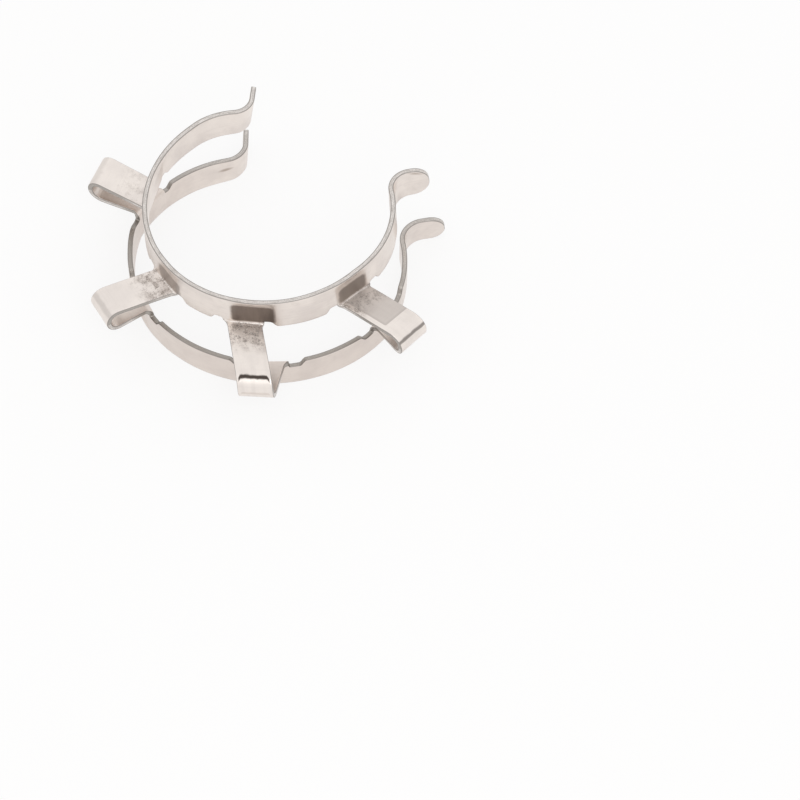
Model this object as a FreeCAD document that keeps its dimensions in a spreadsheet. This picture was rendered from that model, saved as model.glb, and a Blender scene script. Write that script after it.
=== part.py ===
import FreeCAD, Part
import math
import os
import Sketcher

# Ground joint clip: two open bands of spring sheet, one above the other, joined by four
# hairpin loops. All of it is one blank, so the model ends as a single solid.
# Z is the axis of both bands, the mouth faces +Y, and the lower band stands on Z = 0.
# Angles are counted from the back of the clip (-Y) towards +X.

doc = FreeCAD.newDocument("GroundJointClip")

# Driving dimensions, in millimetres and degrees

SIZES = [
    ("sheet", 0.6),
    ("neck_radius", 14.0),
    ("socket_radius", 16.2),
    ("lower_height", 4.05),
    ("band_gap", 3.8),
    ("upper_height", 4.35),
    ("upper_flat", 3.2),
    ("lower_flat", 4.6),
    ("near_angle", 28.1),
    ("far_angle", 79.8),
    ("upper_arm_turn", -3.7),
    ("upper_arm_radius", 12.0),
    ("upper_arm_sweep", 53.5),
    ("upper_lip_bend", 1.9),
    ("upper_lip_sweep", 87.2),
    ("upper_lip_length", 2.7),
    ("lower_arm_turn", 9.0),
    ("lower_arm_radius", 12.2),
    ("lower_arm_sweep", 42.3),
    ("lower_lip_bend", 3.1),
    ("lower_lip_sweep", 93.7),
    ("lower_lip_length", 2.5),
    ("tab_width", 4.1),
    ("near_upper_root", 1.2),
    ("near_lower_root", 1.1),
    ("far_upper_root", 0.95),
    ("far_lower_root", 0.85),
    ("fold_shift", 0.3),
    ("loop_length", 6.4),
    ("loop_bend", 1.2),
    ("root_bend", 0.35),
    ("relief_depth", 0.75),
    ("relief_corner", 0.45),
    ("upper_relief", 1.3),
    ("lower_relief", 1.7),
    ("relief_shoulder", 0.5),
    ("tongue_share", 0.47),
]
EXTRA = 1.0
SEAT = 0.2
BACK_FIRST = FreeCAD.Rotation(FreeCAD.Vector(0, 0, 1), -90)

sheet = doc.addObject("Spreadsheet::Sheet", "Sizes")
for row, (alias, value) in enumerate(SIZES, start=1):
    sheet.set("A%d" % row, alias)
    sheet.set("B%d" % row, str(value))
    sheet.setAlias("B%d" % row, alias)
doc.recompute()
cell = dict(SIZES)

# Small helpers for sketches and bound values

def vector(x, y, z=0.0):
    return FreeCAD.Vector(x, y, z)


def fix(sketch, expression, *constraint):
    """Adds one constraint whose value follows an expression of the sheet."""
    index = sketch.addConstraint(Sketcher.Constraint(*constraint))
    sketch.setExpression("Constraints[%d]" % index, expression)


def tie(sketch, *constraint):
    sketch.addConstraint(Sketcher.Constraint(*constraint))


def line(sketch, start, end, construction=False):
    return sketch.addGeometry(Part.LineSegment(start, end), construction)


def arc(sketch, centre, radius, first, last):
    """An arc drawn anticlockwise between two angles in degrees."""
    circle = Part.Circle(centre, vector(0, 0, 1), radius)
    return sketch.addGeometry(Part.ArcOfCircle(circle, math.radians(first), math.radians(last)))


def new_sketch(name, base, rotation=FreeCAD.Rotation()):
    sketch = doc.addObject("Sketcher::SketchObject", name)
    sketch.Placement = FreeCAD.Placement(base, rotation)
    return sketch


def thicken(name, path, value):
    """Sheet of the clip's thickness laid along an open path."""
    strip = doc.addObject("Part::Offset2D", name)
    strip.Source = path
    strip.Mode = "Skin"
    strip.Join = "Arc"
    strip.Fill = True
    strip.Value = value * cell["sheet"]
    strip.setExpression("Value", "%d * Sizes.sheet" % value)
    return strip


def extrude(name, base, direction, length, symmetric=False):
    body = doc.addObject("Part::Extrusion", name)
    body.Base = base
    body.DirMode = "Custom"
    body.Dir = direction
    body.Solid = True
    body.Symmetric = symmetric
    body.setExpression("LengthFwd", length)
    return body


def boolean(kind, name, base, tool):
    result = doc.addObject("Part::" + kind, name)
    result.Base = base
    result.Tool = tool
    return result


def turn(body, tab):
    """Turns a piece drawn along +X to the place of a tab, counted from the back of the clip."""
    angle = cell[tab + "_angle"] - 90
    body.Placement = FreeCAD.Placement(vector(0, 0), FreeCAD.Rotation(vector(0, 0, 1), angle))
    body.setExpression("Placement.Rotation.Angle", "(Sizes.%s_angle - 90) * 1deg" % tab)


# Heights and distances that follow from the driving dimensions

UPPER_BASE = "(Sizes.lower_height + Sizes.band_gap)"
UPPER_PLANE = "sqrt(Sizes.neck_radius^2 - Sizes.upper_flat^2 / 4)"
LOWER_PLANE = "sqrt(Sizes.socket_radius^2 - Sizes.lower_flat^2 / 4)"
LOOP_HEIGHT = "(Sizes.lower_height + Sizes.band_gap / 2)"
LOOP_REACH = "(Sizes.socket_radius + Sizes.loop_length)"
RELIEF_STEP = "(Sizes.relief_depth - Sizes.relief_corner)"
upper_base = cell["lower_height"] + cell["band_gap"]
loop_height = cell["lower_height"] + cell["band_gap"] / 2
loop_reach = cell["socket_radius"] + cell["loop_length"]
relief_step = cell["relief_depth"] - cell["relief_corner"]
upper_plane = math.sqrt(cell["neck_radius"] ** 2 - cell["upper_flat"] ** 2 / 4)
lower_plane = math.sqrt(cell["socket_radius"] ** 2 - cell["lower_flat"] ** 2 / 4)

# Half of a band: back arc, flats at the two tabs, arm and outturned lip


def half_band(level, radius_name, base_expression, base):
    radius = cell[radius_name]
    flat = cell[level + "_flat"]
    arm_radius = cell[level + "_arm_radius"]
    arm_sweep = cell[level + "_arm_sweep"]
    lip_bend = cell[level + "_lip_bend"]
    lip_sweep = cell[level + "_lip_sweep"]
    lip_length = cell[level + "_lip_length"]
    half = math.degrees(math.asin(flat / 2 / radius))

    def at(angle, distance=radius, centre=vector(0, 0)):
        turned = math.radians(angle)
        return centre + vector(math.cos(turned), math.sin(turned)) * distance

    path = new_sketch(level + "_band_path", vector(0, 0, base), BACK_FIRST)
    path.setExpression("Placement.Base.z", base_expression)
    near, far = cell["near_angle"], cell["far_angle"]
    back = arc(path, vector(0, 0), radius, 0, near - half)
    near_flat = line(path, at(near - half), at(near + half))
    side = arc(path, vector(0, 0), radius, near + half, far - half)
    far_flat = line(path, at(far - half), at(far + half))
    joint = at(far + half)
    arm_start = far + half + cell[level + "_arm_turn"]
    arm_end = arm_start + arm_sweep
    arm_centre = at(arm_start, -arm_radius, joint)
    arm = arc(path, arm_centre, arm_radius, arm_start, arm_end)
    lip_centre = at(arm_end, arm_radius + lip_bend, arm_centre)
    bend = arc(path, lip_centre, lip_bend, arm_end + 180 - lip_sweep, arm_end + 180)
    lip_start = at(arm_end + 180 - lip_sweep, lip_bend, lip_centre)
    lip_end = at(arm_end + 90 - lip_sweep, lip_length, lip_start)
    lip = line(path, lip_start, lip_end)

    for curve in (back, side):
        tie(path, "Coincident", curve, 3, -1, 1)
    tie(path, "PointOnObject", back, 1, -1)
    fix(path, "Sizes." + radius_name, "Radius", back, radius)
    for flat_line, angle_name in ((near_flat, "near_angle"), (far_flat, "far_angle")):
        flat_distance = radius * math.cos(math.radians(half))
        middle = line(path, vector(0, 0), at(cell[angle_name], flat_distance), True)
        tie(path, "Coincident", middle, 1, -1, 1)
        tie(path, "PointOnObject", middle, 2, flat_line)
        tie(path, "Symmetric", flat_line, 1, flat_line, 2, middle)
        fix(path, "Sizes.%s * 1deg" % angle_name, "Angle", middle, math.radians(cell[angle_name]))
        fix(path, "Sizes.%s_flat" % level, "Distance", flat_line, flat)
    for first, first_end, second, second_end in (
        (back, 2, near_flat, 1),
        (near_flat, 2, side, 1),
        (side, 2, far_flat, 1),
        (far_flat, 2, arm, 1),
    ):
        tie(path, "Coincident", first, first_end, second, second_end)
    spoke = line(path, arm_centre, joint, True)
    tie(path, "Coincident", spoke, 1, arm, 3)
    tie(path, "Coincident", spoke, 2, arm, 1)
    turned = "(Sizes.far_angle + Sizes.%s_arm_turn) * 1deg + asin(Sizes.%s_flat / 2 / Sizes.%s)"
    fix(path, turned % (level, level, radius_name), "Angle", spoke, math.radians(arm_start))
    fix(path, "Sizes.%s_arm_radius" % level, "Radius", arm, arm_radius)
    fix(path, "Sizes.%s_arm_sweep * 1deg" % level, "Angle", arm, math.radians(arm_sweep))
    tie(path, "Tangent", arm, 2, bend, 2)
    fix(path, "Sizes.%s_lip_bend" % level, "Radius", bend, lip_bend)
    fix(path, "Sizes.%s_lip_sweep * 1deg" % level, "Angle", bend, math.radians(lip_sweep))
    tie(path, "Tangent", bend, 1, lip, 1)
    fix(path, "Sizes.%s_lip_length" % level, "Distance", lip, lip_length)

    strip = thicken(level + "_band_strip", path, 1)
    body = extrude(level + "_half_band", strip, vector(0, 0, 1), "Sizes.%s_height" % level)
    return path, lip, body


# Hairpin loop: down from the upper band, out, round the fold, back in and down to the lower band


def hairpin(name):
    path = new_sketch(name + "_loop_path", vector(0, 0), FreeCAD.Rotation(vector(1, 0, 0), 90))
    root = cell["root_bend"] + cell["sheet"]
    fold = cell["loop_bend"]
    fold_centre = vector(loop_reach - cell["sheet"] - fold, loop_height)
    top = upper_base + relief_step
    bottom = cell["lower_height"] - relief_step
    drop = line(path, vector(upper_plane, top + SEAT), vector(upper_plane, top))
    upper_root = arc(path, vector(upper_plane + root, top), root, 180, 270)
    upper_leg = line(path, vector(upper_plane + root, top - root), fold_centre + vector(0, fold))
    loop = arc(path, fold_centre, fold, -90, 90)
    lower_leg = line(path, fold_centre - vector(0, fold), vector(lower_plane + root, bottom + root))
    lower_root = arc(path, vector(lower_plane + root, bottom), root, 90, 180)
    foot = line(path, vector(lower_plane, bottom), vector(lower_plane, bottom - SEAT))

    for upright_line in (drop, foot):
        tie(path, "Vertical", upright_line)
    for first, first_end, second, second_end in (
        (drop, 2, upper_root, 1),
        (upper_root, 2, upper_leg, 1),
        (upper_leg, 2, loop, 2),
        (loop, 1, lower_leg, 1),
        (lower_leg, 2, lower_root, 1),
        (lower_root, 2, foot, 1),
    ):
        tie(path, "Tangent", first, first_end, second, second_end)
    tie(path, "Equal", upper_root, lower_root)
    fix(path, "Sizes.root_bend + Sizes.sheet", "Radius", upper_root, root)
    fix(path, "Sizes.loop_bend", "Radius", loop, fold)
    fix(path, UPPER_PLANE, "DistanceX", -1, 1, drop, 1, upper_plane)
    fix(path, LOWER_PLANE, "DistanceX", -1, 1, foot, 2, lower_plane)
    top_text = "%s + %s + %s" % (UPPER_BASE, RELIEF_STEP, SEAT)
    fix(path, top_text, "DistanceY", -1, 1, drop, 1, top + SEAT)
    fix(path, str(SEAT), "Distance", drop, SEAT)
    bottom_text = "Sizes.lower_height - %s - %s" % (RELIEF_STEP, SEAT)
    fix(path, bottom_text, "DistanceY", -1, 1, foot, 2, bottom - SEAT)
    fix(path, str(SEAT), "Distance", foot, SEAT)
    centre_text = LOOP_REACH + " - Sizes.sheet - Sizes.loop_bend"
    fix(path, centre_text, "DistanceX", -1, 1, loop, 3, fold_centre.x)
    fix(path, LOOP_HEIGHT, "DistanceY", -1, 1, loop, 3, loop_height)

    strip = thicken(name + "_loop_strip", path, 1)
    wide = extrude(name + "_loop_wide", strip, vector(0, 1, 0), "3 * Sizes.tab_width", True)
    slabs = [lean_slab(name, side) for side in (1, -1)]
    envelope = boolean("Fuse", name + "_loop_envelope", slabs[0], slabs[1])
    loop_body = boolean("Common", name + "_loop", wide, envelope)
    turn(loop_body, name)
    return loop_body


def lean_slab(name, side):
    """Plan outline of one leg: its edges lean, so the two roots lie apart along the bands."""
    level = "upper" if side > 0 else "lower"
    plan = new_sketch("%s_%s_leg_plan" % (name, level), vector(0, 0, loop_height))
    plan.setExpression("Placement.Base.z", LOOP_HEIGHT)
    plane = upper_plane if side > 0 else lower_plane
    plane_text = UPPER_PLANE if side > 0 else LOWER_PLANE
    root = -side * cell["%s_%s_root" % (name, level)]
    root_text = "%d * Sizes.%s_%s_root" % (-side, name, level)
    slope = (cell["fold_shift"] - root) / (loop_reach - plane)
    slope_text = "(Sizes.fold_shift - %s) / (%s - %s)" % (root_text, LOOP_REACH, plane_text)
    half = cell["tab_width"] / 2 / math.cos(math.atan(slope))
    inner = cell["neck_radius"] / 2
    outer = loop_reach + EXTRA
    tip = cell["fold_shift"] + EXTRA * slope
    start = tip - (outer - inner) * slope
    corners = [vector(inner, start - half), vector(outer, tip - half)]
    corners += [vector(outer, tip + half), vector(inner, start + half)]
    edges = [line(plan, corners[i], corners[(i + 1) % 4]) for i in range(4)]
    for first in range(4):
        tie(plan, "Coincident", edges[first], 2, edges[(first + 1) % 4], 1)
    tie(plan, "Vertical", edges[1])
    tie(plan, "Vertical", edges[3])
    tie(plan, "Parallel", edges[0], edges[2])
    middle = line(plan, vector(inner, start), vector(outer, tip), True)
    tie(plan, "Symmetric", edges[1], 1, edges[1], 2, middle, 2)
    tie(plan, "PointOnObject", middle, 1, edges[3])
    tie(plan, "Parallel", middle, edges[0])
    fix(plan, "atan(%s)" % slope_text, "Angle", middle, math.atan(slope))
    fix(plan, "Sizes.tab_width / cos(atan(%s))" % slope_text, "Distance", edges[1], 2 * half)
    fix(plan, "Sizes.neck_radius / 2", "DistanceX", -1, 1, middle, 1, inner)
    fix(plan, "%s + %s" % (LOOP_REACH, EXTRA), "DistanceX", -1, 1, middle, 2, outer)
    fix(plan, "Sizes.fold_shift + %s * %s" % (EXTRA, slope_text), "DistanceY", -1, 1, middle, 2, tip)
    return extrude("%s_%s_leg_slab" % (name, level), plan, vector(0, 0, side), "2 * " + LOOP_REACH)


# Relief: shallow notches beside a tab's root, with round corners and sloped ends


def relief(name, level, band):
    side = 1 if level == "upper" else -1
    edge = upper_base if side > 0 else cell["lower_height"]
    edge_text = UPPER_BASE if side > 0 else "Sizes.lower_height"
    plane = upper_plane if side > 0 else lower_plane
    plane_text = UPPER_PLANE if side > 0 else LOWER_PLANE
    shift = -side * cell["%s_%s_root" % (name, level)]
    shift_text = "%d * Sizes.%s_%s_root" % (-side, name, level)
    facing = FreeCAD.Rotation(vector(1, 1, 1), 120)
    corner_place = vector(plane - EXTRA, shift, edge)
    outline = new_sketch("%s_%s_relief_outline" % (name, level), corner_place, facing)
    outline.setExpression("Placement.Base.x", "%s - %s" % (plane_text, EXTRA))
    outline.setExpression("Placement.Base.y", shift_text)
    outline.setExpression("Placement.Base.z", edge_text)
    half = cell["tab_width"] / 2
    corner = cell["relief_corner"]
    depth = side * cell["relief_depth"]
    step = side * relief_step
    floor = half + cell[level + "_relief"]
    end = floor + cell["relief_shoulder"]
    away = -side * EXTRA

    root = line(outline, vector(-half, step), vector(half, step))
    tie(outline, "Symmetric", root, 1, root, 2, -2)
    fix(outline, "Sizes.tab_width", "Distance", root, 2 * half)
    hands = {}
    for hand, root_end in ((1, 2), (-1, 1)):
        first = {(1, 1): 90, (-1, 1): 0, (1, -1): 180, (-1, -1): 270}[hand, side]
        rounding = arc(outline, vector(hand * (half + corner), step), corner, first, first + 90)
        at_root = 2 if hand * side > 0 else 1
        flat_line = line(outline, vector(hand * (half + corner), depth), vector(hand * floor, depth))
        shoulder = line(outline, vector(hand * floor, depth), vector(hand * end, 0))
        fall = line(outline, vector(hand * end, 0), vector(hand * end, away))
        tie(outline, "Coincident", rounding, at_root, root, root_end)
        tie(outline, "Horizontal", rounding, 3, root, root_end)
        tie(outline, "Tangent", rounding, 3 - at_root, flat_line, 1)
        tie(outline, "Horizontal", flat_line)
        tie(outline, "Coincident", flat_line, 2, shoulder, 1)
        tie(outline, "Coincident", shoulder, 2, fall, 1)
        tie(outline, "Vertical", fall)
        hands[hand] = (rounding, flat_line, shoulder, fall)
    right, left = hands[1], hands[-1]
    close = line(outline, vector(-end, away), vector(end, away))
    tie(outline, "Coincident", close, 1, left[3], 2)
    tie(outline, "Coincident", close, 2, right[3], 2)
    tie(outline, "Horizontal", close)
    tie(outline, "Symmetric", right[1], 2, left[1], 2, -2)
    tie(outline, "Symmetric", right[2], 2, left[2], 2, -2)
    tie(outline, "PointOnObject", right[2], 2, -1)
    rise = (-1, 1, right[1], 2) if side > 0 else (right[1], 2, -1, 1)
    fix(outline, "Sizes.relief_depth", "DistanceY", *rise, cell["relief_depth"])
    fix(outline, "Sizes.relief_corner", "Radius", right[0], corner)
    floor_text = "Sizes.tab_width / 2 + Sizes.%s_relief" % level
    fix(outline, floor_text, "DistanceX", -1, 1, right[1], 2, floor)
    fix(outline, floor_text + " + Sizes.relief_shoulder", "DistanceX", -1, 1, right[2], 2, end)
    fix(outline, str(EXTRA), "Distance", right[3], EXTRA)
    width = "Sizes.sheet + %s" % (2 * EXTRA)
    notch = extrude("%s_%s_relief" % (name, level), outline, vector(1, 0, 0), width)
    turn(notch, name)
    return boolean("Cut", "%s_%s_relieved" % (level, name), band, notch)


# One half of the clip, then its mirror image

upper_path, upper_lip, upper_half = half_band("upper", "neck_radius", UPPER_BASE, upper_base)
lower_path, lower_lip, lower_half = half_band("lower", "socket_radius", "0", 0.0)
for tab in ("near", "far"):
    upper_half = relief(tab, "upper", upper_half)
    lower_half = relief(tab, "lower", lower_half)
loops = [hairpin(tab) for tab in ("near", "far")]
half_clip = doc.addObject("Part::MultiFuse", "half_clip")
half_clip.Shapes = [upper_half, lower_half] + loops
doc.recompute()


def tongue_edges(shape, path, lip, height):
    """Edges across the sheet at the end of a lip, with the radius that rounds its tongue."""
    tip = path.Placement.multVec(path.Geometry[lip].EndPoint)
    radius = cell["tongue_share"] * height
    picked = []
    for number, edge in enumerate(shape.Edges, start=1):
        middle = edge.CenterOfMass
        flat_edge = edge.BoundBox.ZLength < 0.01
        at_tip = math.hypot(middle.x - tip.x, middle.y - tip.y) < cell["sheet"] * 0.6
        from_base = middle.z - path.Placement.Base.z
        on_band = -0.01 < from_base < height + 0.01
        if flat_edge and at_tip and on_band and abs(edge.Length - cell["sheet"]) < 0.01:
            picked.append((number, radius, radius))
    return picked


rounded_half = doc.addObject("Part::Fillet", "rounded_half")
rounded_half.Base = half_clip
upper_edges = tongue_edges(half_clip.Shape, upper_path, upper_lip, cell["upper_height"])
lower_edges = tongue_edges(half_clip.Shape, lower_path, lower_lip, cell["lower_height"])
rounded_half.Edges = upper_edges + lower_edges

other_half = doc.addObject("Part::Mirroring", "other_half")
other_half.Source = rounded_half
other_half.Base = vector(0, 0)
other_half.Normal = vector(1, 0)

clip = doc.addObject("Part::MultiFuse", "clip")
clip.Label = "joint_clip"
clip.Shapes = [rounded_half, other_half]
clip.Refine = True
doc.recompute()

for item in doc.Objects:
    if "Invalid" in item.State or "Error" in item.State:
        raise RuntimeError("%s is in a bad state: %s" % (item.Name, item.State))
    if hasattr(item, "Shape") and (item.Shape.isNull() or not item.Shape.isValid()):
        raise RuntimeError("%s has no valid shape" % item.Name)
if len(clip.Shape.Solids) != 1:
    raise RuntimeError("the clip is in %d pieces" % len(clip.Shape.Solids))

os.makedirs("parts", exist_ok=True)
clip.Shape.exportStep("parts/%s.step" % clip.Label)
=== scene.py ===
import bpy
import bmesh
import math
from mathutils import Matrix, Vector, noise


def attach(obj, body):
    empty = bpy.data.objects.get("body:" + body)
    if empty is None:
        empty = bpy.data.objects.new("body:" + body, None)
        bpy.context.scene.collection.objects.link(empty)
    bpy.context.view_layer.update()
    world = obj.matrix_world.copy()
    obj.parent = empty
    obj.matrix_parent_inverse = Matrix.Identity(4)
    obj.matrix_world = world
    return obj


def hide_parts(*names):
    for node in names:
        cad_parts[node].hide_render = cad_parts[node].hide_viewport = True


# Ground joint clip: one folded blank of nickel-plated spring sheet, on a pale floor.
# Lengths here are millimetres until a mesh is made, and metres from there on.

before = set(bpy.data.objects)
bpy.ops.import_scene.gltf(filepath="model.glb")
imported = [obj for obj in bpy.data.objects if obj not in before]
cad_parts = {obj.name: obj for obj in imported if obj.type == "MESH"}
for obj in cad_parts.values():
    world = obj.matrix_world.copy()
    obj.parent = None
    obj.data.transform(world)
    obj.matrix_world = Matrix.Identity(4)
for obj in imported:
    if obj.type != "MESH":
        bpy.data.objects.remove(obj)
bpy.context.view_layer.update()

MM = 0.001


# Photograph's view: a long lens from the front, high up and a little to the right. The picture is
# FRAME_WIDTH wide at the clip, and its middle is AIM_RIGHT and AIM_DOWN from the foot of the clip's
# axis.

VIEW_TURN = math.radians(39.0)
VIEW_RISE = math.radians(53.3)
VIEW_ROLL = math.radians(5.93)
FRAME_WIDTH = 92.2
AIM_RIGHT = 14.31
AIM_DOWN = 15.42
LENS = 1000.0
SENSOR_WIDTH = 36.0
FARTHEST_SEEN = 20000.0


def place_camera():
    back = Vector((
        math.sin(VIEW_TURN) * math.cos(VIEW_RISE),
        -math.cos(VIEW_TURN) * math.cos(VIEW_RISE),
        math.sin(VIEW_RISE),
    ))
    aside = Vector((math.cos(VIEW_TURN), math.sin(VIEW_TURN), 0.0))
    fall = (-back).cross(aside)
    right = math.cos(VIEW_ROLL) * aside + math.sin(VIEW_ROLL) * fall
    down = -math.sin(VIEW_ROLL) * aside + math.cos(VIEW_ROLL) * fall
    camera = bpy.data.objects.new("Camera", bpy.data.cameras.new("Camera"))
    camera.data.lens = LENS
    camera.data.sensor_width = SENSOR_WIDTH
    camera.data.clip_end = FARTHEST_SEEN * MM
    distance = LENS * FRAME_WIDTH / SENSOR_WIDTH
    eye = (right * AIM_RIGHT + down * AIM_DOWN + back * distance) * MM
    turned = Matrix((right, -down, back)).transposed()
    camera.matrix_world = Matrix.Translation(eye) @ turned.to_4x4()
    bpy.context.collection.objects.link(camera)
    bpy.context.scene.camera = camera


place_camera()
bpy.context.scene.view_settings.view_transform = "Standard"


# Sheet and bands. The cut edges are rounded by ROUND. The lower band is lower on the right of the
# clip, by a taper that starts near the back.

SHEET = 0.6
HALF_SHEET = SHEET / 2
ROUND = 0.09
NECK_RADIUS = 14.0
SOCKET_RADIUS = 16.28
LOWER_HEIGHT = 3.88
LOWER_TAPER = 0.26
TAPER_START = 1.0
TAPER_RUN = 12.0
UPPER_BASE = 7.85
UPPER_HEIGHT = 4.35
CREASE_RADIUS = 1.0

# Tabs, and the relief notches beside them. A tab's foot is wider than the tab by the flare on each
# side. Each notch has round corners, a floor and a slope up to the band's edge. Both ends of the
# slope are eased, and the edge is plain again from a margin beyond it. The upper band's notches are
# all alike: length of the floor and of the slope.
TAB_WIDTH = 4.1
FLARE = 0.4
RELIEF_DEPTH = 0.75
RELIEF_CORNER = 0.15
RELIEF_STEP = RELIEF_DEPTH - RELIEF_CORNER
RELIEF_EASE = 0.18
RELIEF_MARGIN = 0.3
UPPER_NOTCH = (1.3, 0.5)

# Bends of each loop, on the sheet's middle. Across a leg the sheet turns from the band's curve to
# straight: where that starts, counted outwards from the root, and over what run.
FOLD_RADIUS = 1.6
ROOT_RADIUS = 0.5
STRAIGHT_START = -0.1
STRAIGHT_RUN = 0.8

# Slight waves that handling and bending leave in the sheet
WAVE_DEPTH = 0.035
WAVE_LENGTH = 3.2

# Fineness of the mesh: cells in each stretch, and the length of a cell where no number is set. A
# line in plan is walked in steps of this length and turn in degrees at most.
STEP = 0.22
TAB_CELLS = 20
CORNER_CELLS = 5
TONGUE_CELLS = 12
BAND_CELLS = 18
BEND_CELLS = 10
RIM_CELLS = 3
WALK_STEP = 0.1
WALK_TURN = 4.0

# Each band: inner radius, base height and height
BANDS = {
    "upper": {"radius": NECK_RADIUS, "base": UPPER_BASE, "height": UPPER_HEIGHT},
    "lower": {"radius": SOCKET_RADIUS, "base": 0.0, "height": LOWER_HEIGHT},
}

# Each half of a band, from the back of the clip to its lip. Beyond the angle where the arm starts
# it goes on in bends, each with a crease before it, an inner radius and a sweep, and ends in the
# lip: its sweep, outer bend radius and straight end. The lean is how far the band's bottom edge
# stands out along the arm, because the spring loops pull it out of true, and how much more at the
# lip. The flats are what the bending tool leaves at each tab: their angle and length.
HALVES = {
    ("upper", 1): {
        "start": 78.0, "arm": [(-4.8, 11.41, 62.0)], "lip": (91.2, 2.63, 2.36), "lean": (-0.1, 0.0),
        "flats": [(25.7, 5.2), (74.8, 4.6)],
    },
    ("upper", -1): {
        "start": 50.0, "arm": [(0.0, 14.27, 57.1), (-2.7, 7.0, 40.5)],
        "lip": (82.0, 2.45, 2.7), "lean": (0.45, 0.3),
        "flats": [(21.6, 4.4), (75.5, 4.6)],
    },
    ("lower", 1): {
        "start": 84.0, "arm": [(6.8, 14.28, 44.1)], "lip": (92.8, 2.82, 2.62), "lean": (-0.3, 0.0),
        "flats": [(31.9, 4.6), (82.8, 4.6)],
    },
    ("lower", -1): {
        "start": 73.3, "arm": [(10.0, 14.14, 53.1)], "lip": (80.0, 2.74, 2.8), "lean": (0.11, 0.3),
        "flats": [(31.9, 4.6), (82.8, 4.6)],
    },
}

# The arm's lean grows from this far before the last tab, and the lip's from this far before the lip
ARM_LEAN_START = 7.0
ARM_LEAN_RUN = 12.0
LIP_LEAN_START = 1.0
LIP_LEAN_RUN = 3.0

# Corner radius of a lip's round tongue, as a share of the band's height, and the distances from the
# rim between which a flat fades in
TONGUE = 0.47
FLAT_FADE = (0.15, 0.7)

# Each hairpin loop: its angle from the back, how far its fold and roots stand to the side, counted
# away from the back, the fold's reach and height, its lower notch on the side of the back and on
# the side of the arm, as the length of the floor and of the slope, and the strength of the painted
# shade inside the loop, which also sets how strong the streaks on its legs are
LOOPS = {
    "near_right": {
        "hand": 1, "angle": 28.1, "fold": 0.55, "upper": -1.62, "lower": 1.1,
        "reach": 22.3, "height": 5.85, "notch": ((1.7, 0.5), (1.7, 0.5)), "streaks_and_shade": 0.8,
    },
    "far_right": {
        "hand": 1, "angle": 79.8, "fold": 0.3, "upper": -0.95, "lower": 1.75,
        "reach": 22.3, "height": 5.85, "notch": ((1.7, 0.5), (1.7, 0.5)), "streaks_and_shade": 0.65,
    },
    "near_left": {
        "hand": -1, "angle": 28.1, "fold": 0.3, "upper": -1.2, "lower": 1.1,
        "reach": 22.05, "height": 5.75, "notch": ((1.7, 0.5), (1.7, 0.5)), "streaks_and_shade": 0.2,
    },
    "far_left": {
        "hand": -1, "angle": 79.8, "fold": 0.3, "upper": -1.4, "lower": 0.8,
        "reach": 22.3, "height": 6.1, "notch": ((0.7, 1.4), (1.05, 0.5)), "streaks_and_shade": 0.2,
    },
}

# The painted shade inside a loop, and the streaks on its legs, start at the roots and are strongest
# this far along each leg
STREAK_AND_SHADE_RUN = 6.0

# Painted dark reflections on the upper band's flats above each tab: angle, length, distance from the
# rim, and strength. They start this far above the band's lower edge.
DARK_FACET_REFLECTIONS = {
    "near_right": (26.4, 5.1, 0.78, 1.0),
    "far_right": (75.2, 4.05, 1.25, 0.8),
    "near_left": (19.1, 4.15, 1.35, 0.6),
    "far_left": (74.5, 4.3, 1.25, 0.75),
}
REFLECTION_BOTTOM = 0.55
REFLECTION_CORNER = 0.55

# Pits on each upper leg, in blotches that are darkened near the root as a painted reflection of the
# flats: strength, and where they start and end to fade from the root
PITS_AND_ROOT_REFLECTION = {
    "near_right": (1.0, 2.2, 5.2),
    "far_right": (0.9, 2.2, 4.2),
    "near_left": (0.9, 1.8, 5.0),
    "far_left": (0.28, 1.5, 6.5),
}

# Dull rectangle on one leg, where the skin was rubbed: start and end from the root, and the
# distance of each side from the tab's middle
RUBBED = {"far_right": (-1.0, 6.3, -1.5, 2.6)}
RUBBED_CORNER = 0.2

# Painted dark reflection line across each fold: distance from the root, half width, how far it
# reaches to each side, and its strength. Its ends hook outwards.
FOLD_REFLECTION_LINES = {
    "near_right": (7.95, 0.2, 1.9, 1.0),
    "far_right": (8.72, 0.17, 2.6, 0.7),
    "near_left": (8.2, 0.3, 2.6, 0.2),
    "far_left": (8.0, 0.5, 2.6, 0.15),
}
LINE_HOOK = 0.4

# Brown stains on the bands, seen on both of their sides: place along the band from the back and
# across it, half length, half width and how much they rise along the band
STAINS = {
    "lower": [(-34.3, 2.4, 1.0, 0.3, -0.1)],
    "upper": [(36.7, 11.8, 0.95, 0.2, -0.33)],
}

# What a point keeps for the finish:
# blank_mm: its place along the strip and across it, in millimetres, and which face it is on
# reflections_and_stains: distance inside a painted dark reflection on a flat, its strength, and share of
# the way into a stain
# legs: strength of the pits and of the painted reflection that darkens their blotches, distance inside a
# rubbed spot, and strength of the streaks and of the painted shade inside the loop
# fold_reflection_line: distance off a painted dark reflection line across a fold in half widths,
# distance inside its ends, and its strength
LAYERS = ("blank_mm", "reflections_and_stains", "legs", "fold_reflection_line")
OUTSIDE = -9.0
OFF_LINE = 9.0
NO_FACET_REFLECTION = (OUTSIDE, 0.0)
NO_FOLD_REFLECTION = (OFF_LINE, OUTSIDE, 0.0)


# Folding: the middle surface of the sheet, laid out as a line and then bent into place


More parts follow.
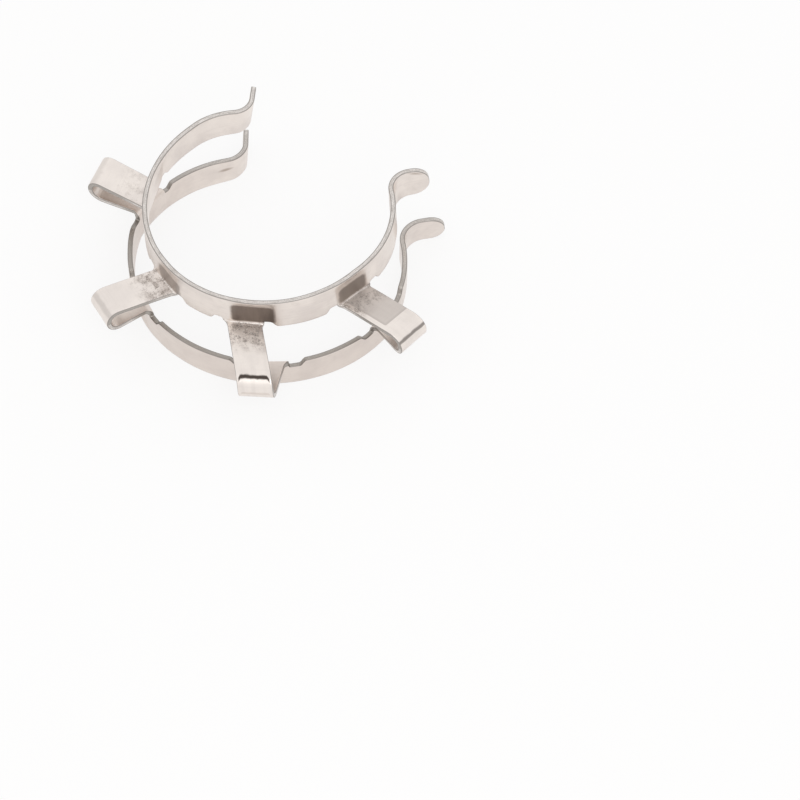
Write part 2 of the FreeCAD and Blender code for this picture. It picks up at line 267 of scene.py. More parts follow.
class Line:
    """A bent line in plan, walked in short steps. Arc length is kept with each point."""

    def __init__(self, x, y, heading):
        self.points = [(0.0, x, y, heading)]
        self.lip_start = 0.0

    def walk(self, length, turn=0.0):
        """Goes on by a length while turning left by an angle in degrees."""
        steps = max(1, math.ceil(length / WALK_STEP), math.ceil(abs(turn) / WALK_TURN))
        for _ in range(steps):
            along, x, y, heading = self.points[-1]
            half_turn = math.radians(turn) / steps / 2
            x += math.cos(heading + half_turn) * length / steps
            y += math.sin(heading + half_turn) * length / steps
            self.points.append((along + length / steps, x, y, heading + 2 * half_turn))

    def crease(self, turn):
        """Turns by an angle in degrees, in a tight bend."""
        self.walk(CREASE_RADIUS * abs(math.radians(turn)), turn)

    @property
    def length(self):
        return self.points[-1][0]

    def at(self, along):
        """Place and direction at an arc length."""
        low, high = 0, len(self.points) - 1
        while high - low > 1:
            middle = (low + high) // 2
            if self.points[middle][0] <= along:
                low = middle
            else:
                high = middle
        first, last = self.points[low], self.points[high]
        share = (along - first[0]) / (last[0] - first[0])
        x, y, heading = (first[i] + (last[i] - first[i]) * share for i in (1, 2, 3))
        return Vector((x, y, 0)), Vector((math.cos(heading), math.sin(heading), 0))


def half_band_line(level, hand):
    """A half's middle line from the back of the clip to the lip, drawn on the +X side."""
    shape = HALVES[level, hand]
    middle = BANDS[level]["radius"] + HALF_SHEET
    line = Line(0.0, -middle, 0.0)
    line.walk(middle * math.radians(shape["start"]), shape["start"])
    for turn, arm_radius, arm_sweep in shape["arm"]:
        if turn:
            line.crease(turn)
        line.walk((arm_radius + HALF_SHEET) * math.radians(arm_sweep), arm_sweep)
    line.lip_start = line.length
    lip_sweep, lip_radius, lip_length = shape["lip"]
    line.walk((lip_radius - HALF_SHEET) * math.radians(lip_sweep), -lip_sweep)
    line.walk(lip_length)
    return line


def nearest(line, target):
    """Arc length of the line's point nearest to a place in plan."""
    return min(line.points, key=lambda p: (p[1] - target.x) ** 2 + (p[2] - target.y) ** 2)[0]


def ease(share):
    """Smooth step from 0 to 1 as the share does the same."""
    share = min(max(share, 0.0), 1.0)
    return share * share * (3 - 2 * share)


def smooth_max(first, second, blend):
    """The larger value, with the change from one to the other rounded off."""
    share = max(blend - abs(first - second), 0.0) / blend
    return max(first, second) + share * share * blend / 4


def smooth_min(first, second, blend):
    return -smooth_max(-first, -second, blend)


def relief_edge(away, floor_end, run):
    """Depth of the notched edge below the plain one, at a distance from a tab's middle. The edge
    comes back up in a run beyond the end of the notch's floor. The depth includes the rounding."""
    half = TAB_WIDTH / 2 + FLARE - ROUND
    corner = RELIEF_CORNER + ROUND
    middle = TAB_WIDTH / 2 + FLARE + RELIEF_CORNER
    if away <= half:
        return RELIEF_STEP
    if away < middle:
        return RELIEF_STEP + math.sqrt(max(corner ** 2 - (middle - away) ** 2, 0.0))
    slope = RELIEF_DEPTH / run
    ramp = slope * (floor_end + run - away) + ROUND * math.sqrt(1 + slope ** 2)
    return smooth_max(ROUND, smooth_min(RELIEF_DEPTH + ROUND, ramp, RELIEF_EASE), RELIEF_EASE)


def tongue_edge(level, remaining):
    """How far the rounded end of a lip draws its edges in, at a distance from the tip."""
    radius = TONGUE * BANDS[level]["height"] - ROUND
    if remaining >= radius:
        return 0.0
    return radius - math.sqrt(max(radius ** 2 - (radius - remaining) ** 2, 0.0))


class Band:
    """Both halves of a band. Arc lengths along it are negative on the left side."""

    def __init__(self, level):
        self.level = level
        self.base = BANDS[level]["base"]
        self.height = BANDS[level]["height"]
        self.middle = BANDS[level]["radius"] + HALF_SHEET
        self.lines = {hand: half_band_line(level, hand) for hand in (1, -1)}
        self.roots = {}
        for name, loop in LOOPS.items():
            turned = math.radians(loop["angle"])
            outward = Vector((math.sin(turned), -math.cos(turned), 0))
            aside = Vector((math.cos(turned), math.sin(turned), 0))
            target = outward * self.middle + aside * loop[level]
            self.roots[name] = loop["hand"] * nearest(self.lines[loop["hand"]], target)
        self.last_tab = max(abs(root) for root in self.roots.values())

    def at(self, along, height):
        """Place of the middle surface."""
        hand = 1 if along >= 0 else -1
        place, heading = self.lines[hand].at(abs(along))
        outward = Vector((heading.y, -heading.x, 0))
        up = (height - self.base) / self.height
        place += outward * self.lean(along) * (1 - up)
        place -= outward * self.recess(along, height)
        place.x *= hand
        place.z = height
        return place

    def lean(self, along):
        """How far the band's lower edge stands out."""
        hand = 1 if along >= 0 else -1
        arm_lean, lip_lean = HALVES[self.level, hand]["lean"]
        in_arm = ease((abs(along) - self.last_tab + ARM_LEAN_START) / ARM_LEAN_RUN)
        in_lip = ease((abs(along) - self.lines[hand].lip_start + LIP_LEAN_START) / LIP_LEAN_RUN)
        return arm_lean * in_arm + lip_lean * in_lip

    def recess(self, along, height):
        """Depth of the flats that the bending tool leaves at each tab. They fade towards the rim."""
        hand = 1 if along >= 0 else -1
        if self.level == "upper":
            from_rim = self.base + self.height - height
        else:
            from_rim = height - self.base
        share = ease((from_rim - FLAT_FADE[0]) / (FLAT_FADE[1] - FLAT_FADE[0]))
        for angle, length in HALVES[self.level, hand]["flats"]:
            off = abs(along) / self.middle - math.radians(angle)
            half = math.asin(length / 2 / self.middle)
            if abs(off) < half:
                return share * self.middle * (1 - math.cos(half) / math.cos(off))
        return 0.0

    def ends(self, hand):
        """Arc length of a lip's end, drawn in by the edge rounding."""
        return hand * (self.lines[hand].length - ROUND)

    def edges(self, along):
        """Lowest and highest point of the band at an arc length, drawn in by the edge rounding."""
        hand = 1 if along >= 0 else -1
        notch = ROUND
        for name, root in self.roots.items():
            away = along - root
            if self.level == "lower":
                floor, slope = LOOPS[name]["notch"][away * hand > 0]
            else:
                floor, slope = UPPER_NOTCH
            if abs(away) < TAB_WIDTH / 2 + floor + slope + RELIEF_MARGIN:
                notch = relief_edge(abs(away), TAB_WIDTH / 2 + floor, slope)
        drawn = tongue_edge(self.level, max(abs(self.ends(hand)) - abs(along), 0.0))
        if self.level == "upper":
            return self.base + notch + drawn, self.base + self.height - ROUND - drawn
        taper = LOWER_TAPER * ease((along - TAPER_START) / TAPER_RUN)
        return self.base + ROUND + drawn, self.base + self.height - taper - notch - drawn


def spread(first, last, cells):
    """Evenly spaced values from the first one on. The last one isn't among them."""
    return [first + (last - first) * i / cells for i in range(cells)]


def band_columns(band):
    """Arc lengths of a band's columns, and the index of each tab's first column."""
    half = TAB_WIDTH / 2 + FLARE - ROUND
    corner = TAB_WIDTH / 2 + FLARE + RELIEF_CORNER
    corner_turns = [math.pi / 2 * i / CORNER_CELLS for i in range(CORNER_CELLS)]
    tongue_turns = [math.pi / 2 * i / TONGUE_CELLS for i in range(TONGUE_CELLS + 1)]
    tip = TONGUE * band.height
    start = band.ends(-1)
    columns = [start + tip * (1 - math.cos(turned)) for turned in tongue_turns[:-1]]
    firsts = {}
    reached = start + tip
    for root, name in sorted((root, name) for name, root in band.roots.items()):
        left, right = root - corner, root + corner
        columns += spread(reached, left, max(2, round((left - reached) / STEP)))
        columns += [left + (corner - half) * math.sin(turned) for turned in corner_turns]
        firsts[name] = len(columns)
        columns += spread(root - half, root + half, TAB_CELLS)
        columns += [right - (corner - half) * math.cos(turned) for turned in corner_turns]
        reached = right
    last = band.ends(1) - tip
    columns += spread(reached, last, max(2, round((last - reached) / STEP)))
    columns += [last + tip * math.sin(turned) for turned in tongue_turns]
    return columns, firsts


def tangent_angle(first_centre, first_radius, last_centre, last_radius):
    """Direction of the line that leaves the first circle on its low side and joins the last one on
    its top."""
    across = last_centre - first_centre
    return math.atan2(across.y, across.x) + math.asin((first_radius + last_radius) / across.length)


def leg_profile(reach, root_height, fold_height, side):
    """Rows of one leg, from the root to the fold's outermost line, as (distance out, height). The
    side is 1 for an upper leg and -1 for a lower one."""
    root_centre = Vector((ROOT_RADIUS, 0.0))
    fold_centre = Vector((reach - FOLD_RADIUS, -abs(root_height - fold_height)))
    slope = tangent_angle(root_centre, ROOT_RADIUS, fold_centre, FOLD_RADIUS)
    rows = []
    for i in range(BEND_CELLS + 1):
        turned = math.pi + (slope + math.pi / 2) * i / BEND_CELLS
        rows.append(root_centre + Vector((math.cos(turned), math.sin(turned))) * ROOT_RADIUS)
    top = fold_centre + Vector((-math.sin(slope), math.cos(slope))) * FOLD_RADIUS
    first = rows[-1]
    cells = max(4, round((top - first).length / STEP))
    rows += [first.lerp(top, i / cells) for i in range(1, cells)]
    for i in range(BEND_CELLS + 1):
        turned = (math.pi / 2 + slope) * (1 - i / BEND_CELLS)
        rows.append(fold_centre + Vector((math.cos(turned), math.sin(turned))) * FOLD_RADIUS)
    return [(row.x, root_height + side * row.y) for row in rows]


def inside(across, along, left, right, low, high, corner):
    """Distance inside a rounded rectangle, negative outside it."""
    out_across = max(left - across, across - right) + corner
    out_along = max(low - along, along - high) + corner
    outside = math.hypot(max(out_across, 0.0), max(out_along, 0.0))
    return corner - outside - min(max(out_across, out_along), 0.0)


def dark_facet_reflection(along, height):
    """Distance inside the nearest painted dark reflection on a flat of the upper band, and its strength.
    """
    low = UPPER_BASE + REFLECTION_BOTTOM
    found = []
    for name, (angle, length, below_rim, strength) in DARK_FACET_REFLECTIONS.items():
        centre = LOOPS[name]["hand"] * (NECK_RADIUS + HALF_SHEET) * math.radians(angle)
        left, right = centre - length / 2, centre + length / 2
        high = UPPER_BASE + UPPER_HEIGHT - below_rim
        found.append((inside(along, height, left, right, low, high, REFLECTION_CORNER), strength))
    return max(found)


def stain(level, along, height):
    """How far inside the nearest stain a point is, as a share of the stain's half width."""
    found = [OUTSIDE]
    for place, middle, half_length, half_width, rise in STAINS[level]:
        across = height - middle - rise * (along - place)
        found.append(1 - math.hypot((along - place) / half_length, across / half_width))
    return max(found)


def fold_reflection_line(name, wide, walked):
    """Distance off a leg's painted dark reflection line across the fold in half widths, distance inside
    its ends, and its strength.
    """
    far, half, reach, strength = FOLD_REFLECTION_LINES[name]
    aside = reach - abs(wide)
    hook = LINE_HOOK * (1 - ease(aside / LINE_HOOK))
    return (walked - far - hook) / half, aside, strength


def leg_skin(name, wide, walked):
    """Strength of the pits on an upper leg, whose blotches are darkened as a painted reflection of the
    flats, and distance inside its rubbed rectangle.
    """
    strength, start, end = PITS_AND_ROOT_REFLECTION[name]
    pit_and_reflection_strength = strength * (1 - ease((walked - start) / (end - start)))
    if name not in RUBBED:
        return pit_and_reflection_strength, OUTSIDE
    first, last, left, right = RUBBED[name]
    return pit_and_reflection_strength, inside(wide, walked, left, right, first, last, RUBBED_CORNER)


def add_point(blank, place, *values):
    """A point of the blank, with one value for each layer."""
    point = blank.verts.new(place)
    for name, value in zip(LAYERS, values):
        point[blank.verts.layers.float_vector[name]] = value
    return point


def lay_band(blank, band):
    """Adds a band to the blank, and gives the row of its points from which each tab goes on."""
    columns, firsts = band_columns(band)
    grid = []
    for along in columns:
        low, high = band.edges(along)
        column = []
        for j in range(BAND_CELLS + 1):
            height = low + (high - low) * j / BAND_CELLS
            # Painted dark reflections on the flats, on the upper band only
            dark_facet = dark_facet_reflection(along, height) if band.level == "upper" else NO_FACET_REFLECTION
            column.append(add_point(
                blank, band.at(along, height),
                (along, height, 0.0),
                (*dark_facet, stain(band.level, along, height)),
                (0.0, OUTSIDE, 0.0),
                NO_FOLD_REFLECTION,
            ))
        grid.append(column)
    for left, right in zip(grid, grid[1:]):
        for j in range(BAND_CELLS):
            blank.faces.new((left[j], right[j], right[j + 1], left[j + 1]))
    notched = 0 if band.level == "upper" else BAND_CELLS
    return {
        name: [column[notched] for column in grid[first:first + TAB_CELLS + 1]]
        for name, first in firsts.items()
    }


def lay_leg(blank, band, name, tip, aside, root_row):
    """Adds the points of one leg in rows from its root to the fold, whose outermost line belongs to
    the upper leg. Gives the rows, with the root's own row first."""
    loop = LOOPS[name]
    upper = band.level == "upper"
    side = 1 if upper else -1
    root_place = root_row[TAB_CELLS // 2].co.copy()
    root_height = root_place.z
    root_place.z = 0.0
    root_across = (root_row[-1].co - root_row[0].co).normalized()
    reach = (tip - root_place).length
    profile = leg_profile(reach, root_height, loop["height"], side)
    rows = [root_row]
    walked = 0.0
    for before, (out, height) in zip(profile, profile[1:] if upper else profile[1:-1]):
        walked += math.dist((out, height), before)
        share = out / reach
        centre = root_place.lerp(tip, share)
        across = root_across.lerp(aside, ease(share)).normalized()
        straight = ease((out - STRAIGHT_START) / STRAIGHT_RUN)
        row = []
        for i, root in enumerate(root_row):
            wide = (i / TAB_CELLS - 0.5) * (TAB_WIDTH - 2 * ROUND)
            curved = root.co + (centre - root_place)
            spot = curved.lerp(centre + across * wide, straight)
            skin = leg_skin(name, wide, walked) if upper else (0.0, OUTSIDE)
            # The legs layer ends with the strength of the streaks and of the painted shade inside the
            # loop
            row.append(add_point(
                blank, (spot.x, spot.y, height),
                (band.roots[name] + wide, root_height - side * walked, 0.0),
                (*NO_FACET_REFLECTION, OUTSIDE),
                (*skin, loop["streaks_and_shade"] * ease(walked / STREAK_AND_SHADE_RUN)),
                fold_reflection_line(name, wide, walked) if upper else NO_FOLD_REFLECTION,
            ))
        rows.append(row)
    return rows


def lay_loop(blank, bands, root_rows, name):
    """Adds one hairpin loop to the blank, from the upper band out to the fold and back to the lower
    band."""
    loop = LOOPS[name]
    turned = math.radians(loop["angle"]) * loop["hand"]
    outward = Vector((math.sin(turned), -math.cos(turned), 0))
    aside = Vector((math.cos(turned), math.sin(turned), 0))
    tip = outward * loop["reach"] + aside * loop["hand"] * loop["fold"]
    upper_leg, lower_leg = (
        lay_leg(blank, band, name, tip, aside, rows[name]) for band, rows in zip(bands, root_rows)
    )
    strip = upper_leg + lower_leg[::-1]
    for above, below in zip(strip, strip[1:]):
        for i in range(TAB_CELLS):
            blank.faces.new((below[i], below[i + 1], above[i + 1], above[i]))


def fold_blank():
    """The whole middle surface as one mesh, with its layers."""
    blank = bmesh.new()
    for name in LAYERS:
        blank.verts.layers.float_vector.new(name)
    bands = [Band(level) for level in ("upper", "lower")]
    root_rows = [lay_band(blank, band) for band in bands]
    for name in LOOPS:
        lay_loop(blank, bands, root_rows, name)
    blank.normal_update()
    for point in blank.verts:
        point.co += point.normal * WAVE_DEPTH * noise.noise(point.co / WAVE_LENGTH)
    blank.normal_update()
    return blank


def thicken(blank):
    """Sheet thickness on both sides of the middle surface, with its cut edges rounded."""
    solid = bmesh.new()
    old = {name: blank.verts.layers.float_vector[name] for name in LAYERS}
    new = {name: solid.verts.layers.float_vector.new(name) for name in LAYERS}
    blank.verts.index_update()

    def copy(point, place, side):
        """The last of the blank coordinates runs from 1 on the outer face to -1 on the inner one."""
        made = solid.verts.new(place * MM)
        for name in LAYERS:
            made[new[name]] = point[old[name]]
        made[new["blank_mm"]].z = side
        return made

    outer, inner = {}, {}
    for point in blank.verts:
        outer[point.index] = copy(point, point.co + point.normal * HALF_SHEET, 1.0)
        inner[point.index] = copy(point, point.co - point.normal * HALF_SHEET, -1.0)
    for face in blank.faces:
        solid.faces.new([outer[point.index] for point in face.verts])
        solid.faces.new([inner[point.index] for point in reversed(face.verts)])

    # Section of a cut edge, as the distance out and the height on the sheet
    arris = []
    for i in range(1, RIM_CELLS + 1):
        turned = math.pi / 2 * i / RIM_CELLS
        arris.append((ROUND * math.sin(turned), HALF_SHEET - ROUND * (1 - math.cos(turned))))
    section = arris + [(ROUND, 0.0)] + [(out, -side) for out, side in reversed(arris)]

    rims = {}
    for point in blank.verts:
        if not point.is_boundary:
            continue
        away = Vector()
        for edge in point.link_edges:
            if edge.is_boundary:
                loop = edge.link_loops[0]
                along = loop.link_loop_next.vert.co - loop.vert.co
                away += along.cross(loop.face.normal).normalized()
        away -= point.normal * away.dot(point.normal)
        away.normalize()
        rim = [outer[point.index]]
        for out, side in section:
            place = point.co + away * out + point.normal * side
            rim.append(copy(point, place, side / HALF_SHEET))
        rims[point.index] = rim + [inner[point.index]]
    for edge in blank.edges:
        if not edge.is_boundary:
            continue
        loop = edge.link_loops[0]
        first, last = rims[loop.vert.index], rims[loop.link_loop_next.vert.index]
        for k in range(len(first) - 1):
            solid.faces.new((last[k], first[k], first[k + 1], last[k + 1]))
    solid.normal_update()
    return solid


# Finish of the sheet


def colour(text):
    """A colour from its sRGB hex text, turned to linear for the shader."""
    parts = [int(text[i:i + 2], 16) / 255 for i in (1, 3, 5)]
    return [p / 12.92 if p <= 0.04045 else ((p + 0.055) / 1.055) ** 2.4 for p in parts] + [1.0]


def add(tree, kind, inputs=None, **settings):
    """Adds a node. A node or socket among its inputs is linked, and anything else is a plain value."""
    made = tree.nodes.new(kind)
    for name, value in settings.items():
        setattr(made, name, value)
    usable = [socket for socket in made.inputs if socket.enabled]
    for key, value in (inputs or {}).items():
        socket = usable[key] if isinstance(key, int) else next(s for s in usable if s.name == key)
        if isinstance(value, bpy.types.Node):
            value = next(output for output in value.outputs if output.enabled)
        if isinstance(value, bpy.types.NodeSocket):
            tree.links.new(value, socket)
        else:
            socket.default_value = value
    return made


def nickel_plated_steel():
    """Nickel over cold-rolled spring steel. Rolling leaves it a hazy, slightly warm mirror with a fine
    grain along the strip. Shearing leaves the cut edges greyer and duller, with streaks along them
    and torn specks. The skin has pits near the roots of the upper legs. Light and shade are painted
    into the colour as well: dark reflections on the flats above the tabs, on the blotches near the
    roots and along each fold, shade inside the loops and low on the lower band, on its skin and cut
    edges, and a highlight on the upper legs."""
    material = bpy.data.materials.new("nickel_plated_spring_steel")
    material.use_nodes = True
    tree = material.node_tree
    tree.nodes.clear()
    maths, smooth, mix = "ShaderNodeMath", "ShaderNodeMapRange", "ShaderNodeMix"

    # Where a point is
    layers = [add(tree, "ShaderNodeAttribute", attribute_name=name).outputs["Vector"] for name in LAYERS]
    on_blank, on_reflections_and_stains, on_legs, on_fold_reflection = (
        add(tree, "ShaderNodeSeparateXYZ", {0: layer}).outputs for layer in layers
    )
    place = layers[0]
    in_metres = add(tree, "ShaderNodeTexCoord").outputs["Object"]
    solid_mm = add(tree, "ShaderNodeVectorMath", {0: in_metres, "Scale": 1 / MM}, operation="SCALE")
    rolled = add(tree, "ShaderNodeVectorMath", {0: place, 1: (0.12, 6.0, 3.0)}, operation="MULTIPLY")
    drawn = add(tree, "ShaderNodeVectorMath", {0: place, 1: (1.6, 0.22, 1.0)}, operation="MULTIPLY")
    edge_run = add(tree, "ShaderNodeVectorMath", {0: place, 1: (0.9, 0.9, 5.0)}, operation="MULTIPLY")

    # Patterns. Real rolling lines are finer than a pixel of the photograph, so the grain is drawn
    # coarser, with lines about 0.17 mm apart.
    noise_kind = "ShaderNodeTexNoise"
    mottle = add(tree, noise_kind, {"Vector": solid_mm, "Scale": 0.3, "Detail": 3.0})
    fleck = add(tree, noise_kind, {"Vector": solid_mm, "Scale": 1.1, "Detail": 4.0, "Roughness": 0.6})
    pits = add(tree, noise_kind, {"Vector": solid_mm, "Scale": 6.0, "Detail": 4.0, "Roughness": 0.8})
    grain = add(tree, noise_kind, {"Vector": rolled, "Scale": 1.0, "Detail": 3.0, "Roughness": 0.6})
    streaks = add(tree, noise_kind, {"Vector": drawn, "Scale": 1.0, "Detail": 2.0})
    shear = add(tree, noise_kind, {"Vector": edge_run, "Scale": 1.0, "Detail": 3.0, "Roughness": 0.6})

    # Which side, cut edge and arris a point is on
    depth = add(tree, maths, {0: on_blank["Z"]}, operation="ABSOLUTE")
    edge = add(tree, smooth, {0: depth, 1: 0.6, 2: 0.8, 3: 1.0, 4: 0.0}, interpolation_type="SMOOTHSTEP")
    rise = add(tree, smooth, {0: depth, 1: 0.5, 2: 0.72}, interpolation_type="SMOOTHSTEP")
    fall = add(tree, smooth, {
        0: depth, 1: 0.93, 2: 0.99, 3: 1.0, 4: 0.0,
    }, interpolation_type="SMOOTHSTEP")
    arris = add(tree, maths, {0: rise, 1: fall}, operation="MULTIPLY")
    outer = add(tree, smooth, {0: on_blank["Z"], 1: 0.9, 2: 0.99}, interpolation_type="SMOOTHSTEP")
    inner = add(tree, smooth, {0: on_blank["Z"], 1: -0.9, 2: -0.99}, interpolation_type="SMOOTHSTEP")

    # Plain plated skin, with its rolling grain and the streaks that drawing over the tool leaves
    cloudy = add(tree, smooth, {0: mottle, 1: 0.35, 2: 0.7}, interpolation_type="SMOOTHSTEP")
    metal = add(tree, mix, {0: cloudy, 1: colour("#eee5de"), 2: colour("#e3dad4")}, data_type="RGBA")
    flecked = add(tree, smooth, {0: fleck, 1: 0.48, 2: 0.75, 4: 0.25}, interpolation_type="SMOOTHSTEP")
    metal = add(tree, mix, {0: flecked, 1: metal, 2: colour("#d2c8c1")}, data_type="RGBA")
    grained = add(tree, smooth, {0: grain, 1: 0.45, 2: 0.75, 4: 0.2}, interpolation_type="SMOOTHSTEP")
    metal = add(tree, mix, {0: grained, 1: metal, 2: colour("#cdc4be")}, data_type="RGBA")
    streaky = add(tree, smooth, {0: streaks, 1: 0.4, 2: 0.75, 4: 0.3}, interpolation_type="SMOOTHSTEP")
    streaky = add(tree, maths, {0: streaky, 1: on_legs["Z"]}, operation="MULTIPLY")
    metal = add(tree, mix, {0: streaky, 1: metal, 2: colour("#c4bcb7")}, data_type="RGBA")

    # Painted highlight: brighter skin on the upper legs, which face up
    painted_leg_highlight = add(tree, smooth, {
        0: on_fold_reflection["X"], 1: OFF_LINE, 2: OFF_LINE - 1.0, 4: 0.22,
    }, interpolation_type="SMOOTHSTEP")
    metal = add(tree, mix, {0: painted_leg_highlight, 1: metal, 2: colour("#f6f1ec")}, data_type="RGBA")

    # Painted shade: darker skin low on the lower band, most of all around the back, and inside the loops
    low = add(tree, smooth, {0: on_blank["Y"], 1: 6.5, 2: 4.3}, interpolation_type="SMOOTHSTEP")
    from_back = add(tree, maths, {0: on_blank["X"]}, operation="ABSOLUTE")
    around = add(tree, smooth, {
        0: from_back, 1: 36.0, 2: 24.0, 3: 0.35,
    }, interpolation_type="SMOOTHSTEP")
    low = add(tree, maths, {0: low, 1: around}, operation="MULTIPLY")
    off_line = add(tree, smooth, {
        0: on_fold_reflection["X"], 1: OFF_LINE - 1.0, 2: OFF_LINE,
    }, interpolation_type="SMOOTHSTEP")
    painted_low_band_shade = add(tree, maths, {0: low, 1: off_line}, operation="MULTIPLY")
    painted_low_band_shade = add(tree, maths, {0: painted_low_band_shade, 1: 0.35}, operation="MULTIPLY")
    metal = add(tree, mix, {0: painted_low_band_shade, 1: metal, 2: colour("#c6b8af")}, data_type="RGBA")
    painted_loop_shade = add(tree, maths, {0: inner, 1: on_legs["Z"]}, operation="MULTIPLY")
    metal = add(tree, mix, {0: painted_loop_shade, 1: metal, 2: colour("#9a8f87")}, data_type="RGBA")

    # Painted dark reflections on the flats above the tabs, with a ragged outline
    ragged = add(tree, maths, {0: fleck, 1: 0.2, 2: on_reflections_and_stains["X"]}, operation="MULTIPLY_ADD")
    facet_reflection = add(tree, smooth, {0: ragged, 1: -0.1, 2: 0.34}, interpolation_type="SMOOTHSTEP")
    facet_reflection = add(tree, maths, {0: facet_reflection, 1: outer}, operation="MULTIPLY")
    facet_reflection = add(tree, maths, {0: facet_reflection, 1: on_reflections_and_stains["Y"]}, operation="MULTIPLY")
    facet_reflection_tone = add(tree, mix, {
        0: streaks, 1: colour("#736862"), 2: colour("#93877e"),
    }, data_type="RGBA")
    metal = add(tree, mix, {0: facet_reflection, 1: metal, 2: facet_reflection_tone}, data_type="RGBA")

    # Pits and blotches near the roots, which lie in patches. The blotches are darkened as a painted
    # reflection of the flats.
    pits_and_reflection = add(tree, maths, {0: on_legs["X"], 1: outer}, operation="MULTIPLY")
    blotch_and_reflection = add(tree, smooth, {0: fleck, 1: 0.42, 2: 0.62, 4: 0.6}, interpolation_type="SMOOTHSTEP")
    blotch_and_reflection = add(tree, maths, {0: blotch_and_reflection, 1: pits_and_reflection}, operation="MULTIPLY")
    metal = add(tree, mix, {0: blotch_and_reflection, 1: metal, 2: colour("#b0a59d")}, data_type="RGBA")
    dots = add(tree, maths, {0: fleck, 1: 0.5, 2: pits}, operation="MULTIPLY_ADD")
    dots = add(tree, smooth, {0: dots, 1: 0.77, 2: 0.89, 4: 0.85}, interpolation_type="SMOOTHSTEP")
    dots = add(tree, maths, {0: dots, 1: pits_and_reflection}, operation="MULTIPLY")
    metal = add(tree, mix, {0: dots, 1: metal, 2: colour("#7a706a")}, data_type="RGBA")

    # Rubbed rectangle, with a thin darker outline, and brown stains
    rubbed = add(tree, smooth, {0: on_legs["Y"], 1: 0.0, 2: 0.12}, interpolation_type="SMOOTHSTEP")
    rubbed = add(tree, maths, {0: rubbed, 1: outer}, operation="MULTIPLY")
    outline = add(tree, smooth, {
        0: on_legs["Y"], 1: 0.45, 2: 0.1, 4: 0.15,
    }, interpolation_type="SMOOTHSTEP")
    rub_share = add(tree, maths, {0: 0.5, 1: outline}, operation="ADD")
    rub_share = add(tree, maths, {0: rub_share, 1: rubbed}, operation="MULTIPLY")
    metal = add(tree, mix, {0: rub_share, 1: metal, 2: colour("#b0a8a3")}, data_type="RGBA")
    stained = add(tree, smooth, {
        0: on_reflections_and_stains["Z"], 1: -0.2, 2: 0.7, 4: 0.6,
    }, interpolation_type="SMOOTHSTEP")
    metal = add(tree, mix, {0: stained, 1: metal, 2: colour("#8f7b6b")}, data_type="RGBA")

    # Cut edges, with painted shade on those of the lower band, most of all around the back, and the
    # darker arris next to them
    shorn = add(tree, smooth, {0: shear, 1: 0.35, 2: 0.65}, interpolation_type="SMOOTHSTEP")
    sheared = add(tree, mix, {0: shorn, 1: colour("#ece7e3"), 2: colour("#bdb7b2")}, data_type="RGBA")
    edge_tone = add(tree, mix, {0: low, 1: sheared, 2: colour("#a8a39d")}, data_type="RGBA")
    torn = add(tree, smooth, {0: pits, 1: 0.5, 2: 0.62, 4: 0.5}, interpolation_type="SMOOTHSTEP")
    edge_tone = add(tree, mix, {0: torn, 1: edge_tone, 2: colour("#8d8884")}, data_type="RGBA")
    edged = add(tree, maths, {0: edge, 1: 0.9}, operation="MULTIPLY")
    metal = add(tree, mix, {0: edged, 1: metal, 2: edge_tone}, data_type="RGBA")
    lined = add(tree, maths, {0: arris, 1: 0.8}, operation="MULTIPLY")
    metal = add(tree, mix, {0: lined, 1: metal, 2: colour("#827d79")}, data_type="RGBA")

    # Painted dark reflection line across each fold, ragged on both sides
    beside = add(tree, maths, {0: fleck, 1: 1.4, 2: on_fold_reflection["X"]}, operation="MULTIPLY_ADD")
    beside = add(tree, maths, {0: beside, 1: 0.7}, operation="SUBTRACT")
    beside = add(tree, maths, {0: beside}, operation="ABSOLUTE")
    fold_reflection_share = add(tree, smooth, {0: beside, 1: 1.6, 2: 0.5}, interpolation_type="SMOOTHSTEP")
    line_end = add(tree, smooth, {0: on_fold_reflection["Y"], 1: 0.0, 2: 0.2}, interpolation_type="SMOOTHSTEP")
    fold_reflection_share = add(tree, maths, {0: fold_reflection_share, 1: line_end}, operation="MULTIPLY")
    fold_reflection_share = add(tree, maths, {0: fold_reflection_share, 1: on_fold_reflection["Z"]}, operation="MULTIPLY")
    fold_reflection_share = add(tree, maths, {0: fold_reflection_share, 1: outer}, operation="MULTIPLY")
    metal = add(tree, mix, {0: fold_reflection_share, 1: metal, 2: colour("#4d4540")}, data_type="RGBA")

    # Haze, deeper on the flats, the blotches, the rubbed spot and the cut edges
    rough = add(tree, maths, {0: mottle, 1: 0.12, 2: 0.27}, operation="MULTIPLY_ADD")
    for share, more in ((facet_reflection, 0.12), (blotch_and_reflection, 0.12), (rubbed, 0.16), (edge, 0.1)):
        rough = add(tree, maths, {0: share, 1: more, 2: rough}, operation="MULTIPLY_ADD")

    # Pits and grain are some microns deep, drawn at 20 so that they are seen at this distance
    relief = add(tree, maths, {0: fleck, 1: 0.6, 2: grain}, operation="MULTIPLY_ADD")
    relief = add(tree, maths, {0: dots, 1: -1.6, 2: relief}, operation="MULTIPLY_ADD")
    relief = add(tree, maths, {0: facet_reflection, 1: -1.0, 2: relief}, operation="MULTIPLY_ADD")
    bump = add(tree, "ShaderNodeBump", {"Strength": 0.6, "Distance": 0.02 * MM, "Height": relief})
    skin = add(tree, "ShaderNodeBsdfPrincipled", {
        "Base Color": metal, "Metallic": 1.0, "Roughness": rough, "Normal": bump,
    })
    add(tree, "ShaderNodeOutputMaterial", {"Surface": skin})
    return material


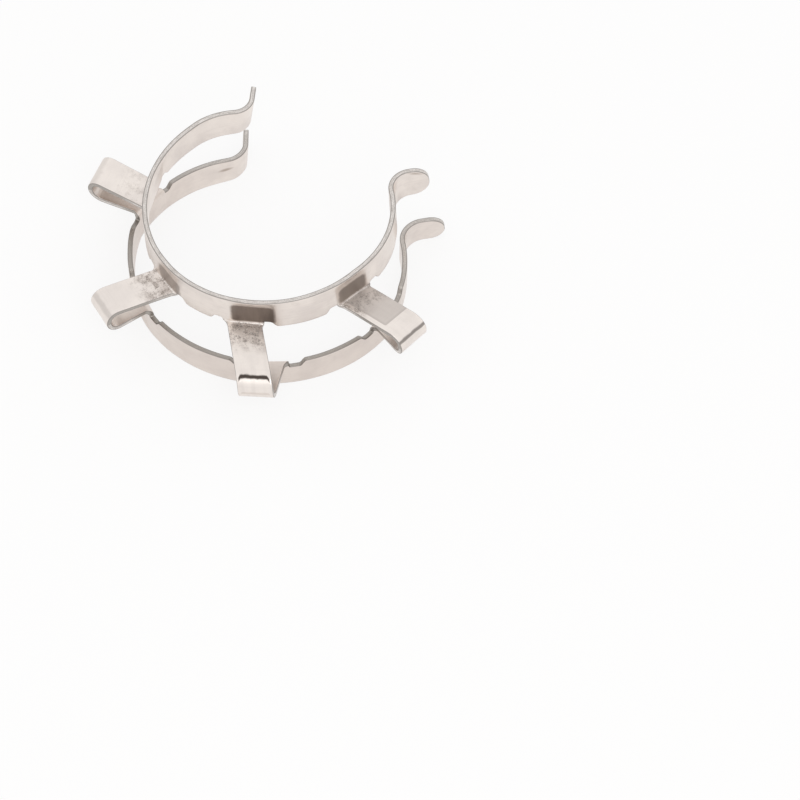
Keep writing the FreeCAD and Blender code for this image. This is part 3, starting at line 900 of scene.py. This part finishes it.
def make_clip():
    blank = fold_blank()
    solid = thicken(blank)
    mesh = bpy.data.meshes.new("folded_clip")
    solid.to_mesh(mesh)
    solid.free()
    blank.free()
    for face in mesh.polygons:
        face.use_smooth = True
    mesh.materials.append(nickel_plated_steel())
    clip = bpy.data.objects.new("folded_clip", mesh)
    bpy.context.collection.objects.link(clip)
    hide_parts("joint_clip")
    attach(clip, "root")


make_clip()


# Floor, light and surroundings, in metres

FLOOR_HALF = 1.5
SOFTBOX_PLACE = Vector((0.35, -0.3, 0.5))
SOFTBOX_WIDTH = 0.4
SOFTBOX_WATTS = 0.7


def white_seen(tree):
    """1 for the rays that find the surroundings plain white: from the camera, mirrored or refracted."""
    rays = add(tree, "ShaderNodeLightPath").outputs
    seen = add(tree, "ShaderNodeMath", {
        0: rays["Is Camera Ray"], 1: rays["Is Glossy Ray"],
    }, operation="MAXIMUM")
    return add(tree, "ShaderNodeMath", {0: seen, 1: rays["Is Transmission Ray"]}, operation="MAXIMUM")


def make_floor():
    """White paper. A fifth of its own shading is kept, so that a faint shadow shows on it."""
    mesh = bpy.data.meshes.new("floor")
    corners = [(-1, -1), (1, -1), (1, 1), (-1, 1)]
    mesh.from_pydata([(x * FLOOR_HALF, y * FLOOR_HALF, 0) for x, y in corners], [], [(0, 1, 2, 3)])
    floor = bpy.data.objects.new("floor", mesh)
    bpy.context.collection.objects.link(floor)
    material = bpy.data.materials.new("white_paper")
    material.use_nodes = True
    tree = material.node_tree
    tree.nodes.clear()
    paper = add(tree, "ShaderNodeBsdfDiffuse", {"Color": colour("#f8f8f8")})
    white = add(tree, "ShaderNodeEmission", {"Color": colour("#ffffff"), "Strength": 1.0})
    share = add(tree, "ShaderNodeMath", {0: white_seen(tree), 1: 0.8}, operation="MULTIPLY")
    mixed = add(tree, "ShaderNodeMixShader", {0: share, 1: paper, 2: white})
    add(tree, "ShaderNodeOutputMaterial", {"Surface": mixed})
    mesh.materials.append(material)


def make_softbox():
    lamp = bpy.data.lights.new("front_softbox", "AREA")
    lamp.shape = "RECTANGLE"
    lamp.size = lamp.size_y = SOFTBOX_WIDTH
    lamp.energy = SOFTBOX_WATTS
    holder = bpy.data.objects.new("front_softbox", lamp)
    holder.location = SOFTBOX_PLACE
    holder.rotation_euler = (-SOFTBOX_PLACE).to_track_quat("-Z", "Y").to_euler()
    bpy.context.collection.objects.link(holder)


def make_surroundings():
    """Light from all around, a little stronger from the sides than from overhead."""
    world = bpy.data.worlds.new("light_tent")
    bpy.context.scene.world = world
    world.use_nodes = True
    tree = world.node_tree
    tree.nodes.clear()
    direction = add(tree, "ShaderNodeTexCoord").outputs["Generated"]
    rise = add(tree, "ShaderNodeSeparateXYZ", {0: direction}).outputs["Z"]
    level = add(tree, "ShaderNodeMapRange", {"Value": rise, "To Min": 1.05, "To Max": 0.82})
    soft = add(tree, "ShaderNodeBackground", {"Color": colour("#fffdfc"), "Strength": level})
    white = add(tree, "ShaderNodeBackground", {"Color": colour("#ffffff"), "Strength": 1.0})
    mixed = add(tree, "ShaderNodeMixShader", {0: white_seen(tree), 1: soft, 2: white})
    add(tree, "ShaderNodeOutputWorld", {"Surface": mixed})


make_floor()
make_softbox()
make_surroundings()
